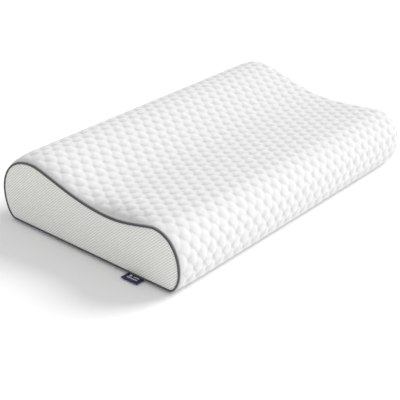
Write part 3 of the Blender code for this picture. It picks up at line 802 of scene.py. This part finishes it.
class Nodes:
    """Short ways to add the nodes of one material."""

    def __init__(self, name):
        self.material = bpy.data.materials.new(name)
        self.material.use_nodes = True
        self.tree = self.material.node_tree
        self.shader = self.tree.nodes["Principled BSDF"]

    def link(self, source, target):
        self.tree.links.new(source, target)

    def add(self, kind, **values):
        node = self.tree.nodes.new(kind)
        for key, value in values.items():
            setattr(node, key, value)
        return node

    def math(self, operation, first, second=None):
        """The result of a sum on numbers or on other nodes' outputs."""
        node = self.add("ShaderNodeMath", operation=operation)
        for socket, value in zip(node.inputs, (first, second)):
            if value is None:
                continue
            if isinstance(value, (int, float)):
                socket.default_value = value
            else:
                self.link(value, socket)
        return node.outputs[0]

    def cloth(self):
        """The two distances along the cloth, in metres."""
        attribute = self.add("ShaderNodeAttribute", attribute_name="cloth")
        parts = self.add("ShaderNodeSeparateXYZ")
        self.link(attribute.outputs["Vector"], parts.inputs[0])
        return attribute.outputs["Vector"], parts.outputs[0], parts.outputs[1]

    def wave(self, distance, period, shift=0.0):
        """A smooth wave from 0 to 1 with this period."""
        turned = self.math("MULTIPLY", self.math("ADD", distance, shift), 2 * math.pi / period)
        return self.math("MULTIPLY", self.math("ADD", self.math("SINE", turned), 1.0), 0.5)

    def turned(self, u, v, angle):
        """Distance across lines that run square to this angle."""
        across = self.math("MULTIPLY", u, math.cos(angle))
        return self.math("ADD", across, self.math("MULTIPLY", v, math.sin(angle)))

    def noise(self, vector, scale):
        node = self.add("ShaderNodeTexNoise")
        node.inputs["Scale"].default_value = scale
        self.link(vector, node.inputs["Vector"])
        return node.outputs["Fac"]

    def position(self):
        return self.add("ShaderNodeTexCoord").outputs["Object"]

    def mix(self, share, first, second):
        """A colour between the first and the second, each a colour or another node's output."""
        node = self.add("ShaderNodeMix", data_type="RGBA")
        self.link(share, node.inputs["Factor"])
        for socket, value in ((node.inputs["A"], first), (node.inputs["B"], second)):
            if isinstance(value, tuple):
                socket.default_value = (*value, 1.0)
            else:
                self.link(value, socket)
        return node.outputs["Result"]

    def colour(self, value):
        if isinstance(value, tuple):
            self.shader.inputs["Base Color"].default_value = (*value, 1.0)
        else:
            self.link(value, self.shader.inputs["Base Color"])

    def bump(self, height, distance, strength=1.0):
        node = self.add("ShaderNodeBump")
        node.inputs["Distance"].default_value = distance
        node.inputs["Strength"].default_value = strength
        self.link(height, node.inputs["Height"])
        self.link(node.outputs[0], self.shader.inputs["Normal"])

    def surface(self, roughness, sheen=0.0, metallic=0.0):
        """Sets how the surface shines, and gives the finished material."""
        self.shader.inputs["Roughness"].default_value = roughness
        self.shader.inputs["Sheen Weight"].default_value = sheen
        self.shader.inputs["Metallic"].default_value = metallic
        return self.material


def quilted_knit():
    """White knit, with painted shade that greys it down in the pits."""
    n = Nodes("quilted_knit_cloth")
    vector, u, v = n.cloth()
    pit = n.add("ShaderNodeAttribute", attribute_name="pit").outputs["Fac"]
    loops = n.math("MULTIPLY", n.wave(u, period=0.0011), n.wave(v, period=0.0009))
    fuzz = n.noise(vector, scale=900.0)
    tone = n.noise(vector, scale=60.0)
    white = n.mix(tone, (0.635, 0.637, 0.64), (0.665, 0.665, 0.668))
    # painted shade: the deeper a point sits in a pit, the more the knit is greyed
    sunk = n.math("MULTIPLY", n.math("POWER", pit, 3.0), 0.6)
    grey = (0.46, 0.465, 0.47)
    n.colour(n.mix(sunk, white, grey))
    knit = n.math("ADD", n.math("MULTIPLY", loops, 0.12), n.math("MULTIPLY", fuzz, 0.08))
    n.bump(knit, distance=0.0009, strength=0.8)
    return n.surface(roughness=0.9, sheen=0.25)


def spacer_mesh():
    """Ribbed mesh, with rows of small holes between its ribs. Painted shade darkens the grooves between the
    ribs, and the holes more.
    """
    n = Nodes("spacer_mesh_cloth")
    vector, u, v = n.cloth()
    across = n.turned(u, v, RIB_TURN)
    along = n.turned(u, v, RIB_TURN + math.pi / 2)
    rib = n.wave(across, RIB_PITCH, RIB_PITCH / 4)
    gap = n.math("SUBTRACT", 1.0, rib)
    holes = n.math("MULTIPLY", gap, n.wave(n.turned(u, v, CROSS_TURN), CROSS_PITCH))
    tone = n.noise(vector, scale=80.0)
    thread = n.mix(tone, (0.90, 0.90, 0.865), (0.96, 0.96, 0.93))
    # painted shade in the grooves between the ribs
    shaded_grooves = n.mix(n.math("MULTIPLY", gap, 0.75), thread, (0.64, 0.65, 0.62))
    # painted shade in the holes, darker than in the grooves
    n.colour(n.mix(n.math("MULTIPLY", holes, 0.3), shaded_grooves, (0.40, 0.41, 0.40)))
    fine = n.math("MULTIPLY", n.wave(along, period=0.0007), 0.25)
    height = n.math("ADD", n.math("SUBTRACT", rib, n.math("MULTIPLY", holes, 0.4)), fine)
    n.bump(height, distance=0.0003, strength=0.7)
    return n.surface(roughness=0.85, sheen=0.15)


def piping_cloth():
    """Dark grey twill."""
    n = Nodes("piping_cloth_twill")
    vector, u, v = n.cloth()
    twill = n.wave(n.math("ADD", u, v), period=0.0007)
    tone = n.noise(vector, scale=700.0)
    n.colour(n.mix(n.math("MULTIPLY", twill, tone), (0.055, 0.058, 0.064), (0.115, 0.121, 0.130)))
    n.bump(twill, distance=0.0001)
    return n.surface(roughness=0.8, sheen=0.2)


def woven_label_cloth():
    """Navy weave with a white diamond and two broken lines, which say nothing."""
    n = Nodes("woven_label_cloth")
    _, u, v = n.cloth()
    weave = n.math("MULTIPLY", n.wave(u, period=0.0004), n.wave(v, period=0.0005))
    navy = n.mix(weave, (0.0065, 0.009, 0.058), (0.014, 0.018, 0.105))
    width = LABEL_HIGH.y - LABEL_LOW.y

    def band(distance, low, high):
        past_low = n.math("GREATER_THAN", distance, low)
        return n.math("MULTIPLY", past_low, n.math("LESS_THAN", distance, high))

    lines = n.math("MULTIPLY", band(v, 0.0092, 0.0118), band(u, 0.2 * width, 0.82 * width))
    lines = n.math("MULTIPLY", lines, n.math("GREATER_THAN", n.wave(u, period=0.0030), 0.22))
    short = n.math("MULTIPLY", band(v, 0.0046, 0.0062), band(u, 0.2 * width, 0.55 * width))
    from_u = n.math("ABSOLUTE", n.math("SUBTRACT", u, 0.72 * width))
    from_v = n.math("ABSOLUTE", n.math("SUBTRACT", v, 0.0054))
    diamond = n.math("LESS_THAN", n.math("ADD", from_u, from_v), 0.0029)
    marks = n.math("MAXIMUM", n.math("MAXIMUM", lines, short), diamond)
    n.colour(n.mix(marks, navy, (0.86, 0.87, 0.92)))
    n.bump(n.math("ADD", weave, marks), distance=0.00012)
    return n.surface(roughness=0.65, sheen=0.1)


def plain_weave(name, dark, light, period=0.0007):
    """A small plain weave in object space, for pieces that carry no cloth coordinates."""
    n = Nodes(name)
    parts = n.add("ShaderNodeSeparateXYZ")
    n.link(n.position(), parts.inputs[0])
    weave = n.math("MULTIPLY", n.wave(parts.outputs[0], period), n.wave(parts.outputs[2], period))
    tone = n.noise(n.position(), scale=150.0)
    n.colour(n.mix(n.math("MULTIPLY", n.math("ADD", weave, tone), 0.5), dark, light))
    n.bump(weave, distance=0.00012)
    return n.surface(roughness=0.85, sheen=0.1)


def knit_liner():
    """Thin off-white jersey."""
    n = Nodes("liner_jersey")
    vector, u, v = n.cloth()
    loops = n.math("MULTIPLY", n.wave(u, period=0.0012), n.wave(v, period=0.0016))
    n.colour(n.mix(n.noise(vector, scale=120.0), (0.70, 0.70, 0.69), (0.78, 0.78, 0.77)))
    n.bump(loops, distance=0.00015)
    return n.surface(roughness=0.9, sheen=0.2)


def foam_skin():
    """Pale yellow foam with fine open cells."""
    n = Nodes("memory_foam_skin")
    cells = n.add("ShaderNodeTexVoronoi")
    cells.inputs["Scale"].default_value = 900.0
    n.link(n.position(), cells.inputs["Vector"])
    tone = n.noise(n.position(), scale=25.0)
    n.colour(n.mix(tone, (0.76, 0.70, 0.55), (0.82, 0.78, 0.66)))
    n.bump(cells.outputs["Distance"], distance=0.0004, strength=0.8)
    return n.surface(roughness=0.95, sheen=0.1)


def nylon():
    """The off-white plastic of the zip's coils."""
    n = Nodes("nylon_coil_plastic")
    tone = n.noise(n.position(), scale=400.0)
    n.colour(n.mix(tone, (0.72, 0.72, 0.71), (0.80, 0.80, 0.79)))
    n.bump(n.noise(n.position(), scale=2500.0), distance=0.00004)
    return n.surface(roughness=0.38)


def enamel():
    """The light grey paint of the slider, its tab and the stops."""
    n = Nodes("zip_enamel")
    tone = n.noise(n.position(), scale=300.0)
    n.colour(n.mix(tone, (0.66, 0.66, 0.67), (0.74, 0.74, 0.75)))
    n.bump(n.noise(n.position(), scale=1500.0), distance=0.00003)
    return n.surface(roughness=0.32, metallic=0.25)


def satin():
    """The white satin of the care label."""
    n = Nodes("care_label_satin")
    parts = n.add("ShaderNodeSeparateXYZ")
    n.link(n.position(), parts.inputs[0])
    floats = n.wave(parts.outputs[0], period=0.0003)
    n.colour(n.mix(floats, (0.80, 0.80, 0.79), (0.88, 0.88, 0.87)))
    n.bump(floats, distance=0.00004)
    return n.surface(roughness=0.4, sheen=0.1)


# ---------------------------------------------------------------------------------- stage

def sunlight(name, energy, spread, azimuth, height):
    """A distant light as wide as its spread, from an azimuth anticlockwise of +X. Degrees."""
    light = bpy.data.lights.new(name, "SUN")
    light.energy = energy
    light.angle = math.radians(spread)
    lamp = bpy.data.objects.new(name, light)
    turn = math.radians(azimuth)
    rise = math.radians(height)
    toward = Vector((math.cos(turn) * math.cos(rise), math.sin(turn) * math.cos(rise), math.sin(rise)))
    lamp.rotation_mode = "QUATERNION"
    lamp.rotation_quaternion = toward.to_track_quat("Z", "Y")
    return lamp


def stage():
    """A white floor, a bright even surround, a soft light low on the right and a weak one in front."""
    n = Nodes("studio_floor")
    n.colour((0.97, 0.97, 0.97))
    floor_material = n.surface(roughness=0.9)
    mesh = bpy.data.meshes.new("floor")
    corners = ((-1, -1), (1, -1), (1, 1), (-1, 1))
    mesh.from_pydata([(FLOOR_REACH * x, FLOOR_REACH * y, 0) for x, y in corners], [], [(0, 1, 2, 3)])
    floor = bpy.data.objects.new("floor", mesh)
    mesh.materials.append(floor_material)
    floor.location.z = -FLOOR_DROP
    bpy.context.scene.collection.objects.link(floor)

    world = bpy.data.worlds.new("studio")
    bpy.context.scene.world = world
    world.use_nodes = True
    background = world.node_tree.nodes["Background"]
    background.inputs["Color"].default_value = (1.0, 1.0, 1.0, 1.0)
    background.inputs["Strength"].default_value = SURROUND_STRENGTH

    key = sunlight("key", energy=3.45, spread=38, azimuth=-22, height=30)
    fill = sunlight("fill", energy=0.3, spread=60, azimuth=-80, height=12)
    for lamp in (key, fill):
        bpy.context.scene.collection.objects.link(lamp)
    bpy.context.scene.view_settings.view_transform = "Standard"


def camera():
    """Looks at the labelled end from the front left, from about 1.7 m."""
    data = bpy.data.cameras.new("camera")
    data.sensor_width = 36.0
    data.lens = CAMERA_LENS
    eye = bpy.data.objects.new("camera", data)
    level = math.cos(CAMERA_PITCH)
    ahead = Vector((level * math.cos(CAMERA_YAW), level * math.sin(CAMERA_YAW), -math.sin(CAMERA_PITCH)))
    turn = (-ahead).to_track_quat("Z", "Y").to_matrix().to_4x4()
    rolled = Matrix.Rotation(-CAMERA_ROLL, 4, "Z")
    eye.matrix_world = Matrix.Translation(CAMERA_PLACE) @ turn @ rolled
    bpy.context.scene.collection.objects.link(eye)
    bpy.context.scene.camera = eye


# ---------------------------------------------------------------------------------- build

def finish_cad_nodes():
    """Materials for the nodes that show as the frame has them."""
    tape_cloth = plain_weave("zip_tape_weave", (0.70, 0.70, 0.69), (0.80, 0.80, 0.79))
    enamelled = enamel()
    looks = {
        "zip_tape_upper": tape_cloth,
        "zip_tape_lower": tape_cloth,
        "zip_top_stop_upper": enamelled,
        "zip_top_stop_lower": enamelled,
        "zip_bottom_stop": enamelled,
        "zip_slider": enamelled,
        "zip_pull_tab": enamelled,
        "care_label": satin(),
    }
    for name, material in looks.items():
        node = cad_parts[name]
        node.data.materials.clear()
        node.data.materials.append(material)
    for name in ("zip_slider", "zip_pull_tab"):
        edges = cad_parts[name].modifiers.new("edges", "BEVEL")
        edges.width = 0.00022
        edges.segments = 2
        edges.limit_method = "ANGLE"
        edges.angle_limit = math.radians(40)


def main():
    camera()
    repeat = simulated_repeat()
    cover_quilt(repeat, quilted_knit())
    mesh_cloth = spacer_mesh()
    twill = piping_cloth()
    cotton = plain_weave("piping_filler_cotton", (0.66, 0.64, 0.58), (0.78, 0.76, 0.70), period=0.0011)
    for side, end in ((-1, "left"), (1, "right")):
        end_panel(side, end, mesh_cloth)
        piping(side, end, twill, cotton)
    foam_block(foam_skin())
    liner(knit_liner())
    zip_coils(nylon())
    zip_stitching(plain_weave("sewing_thread", (0.74, 0.74, 0.74), (0.84, 0.84, 0.84), period=0.0004))
    side_label(woven_label_cloth())
    finish_cad_nodes()
    stage()


main()
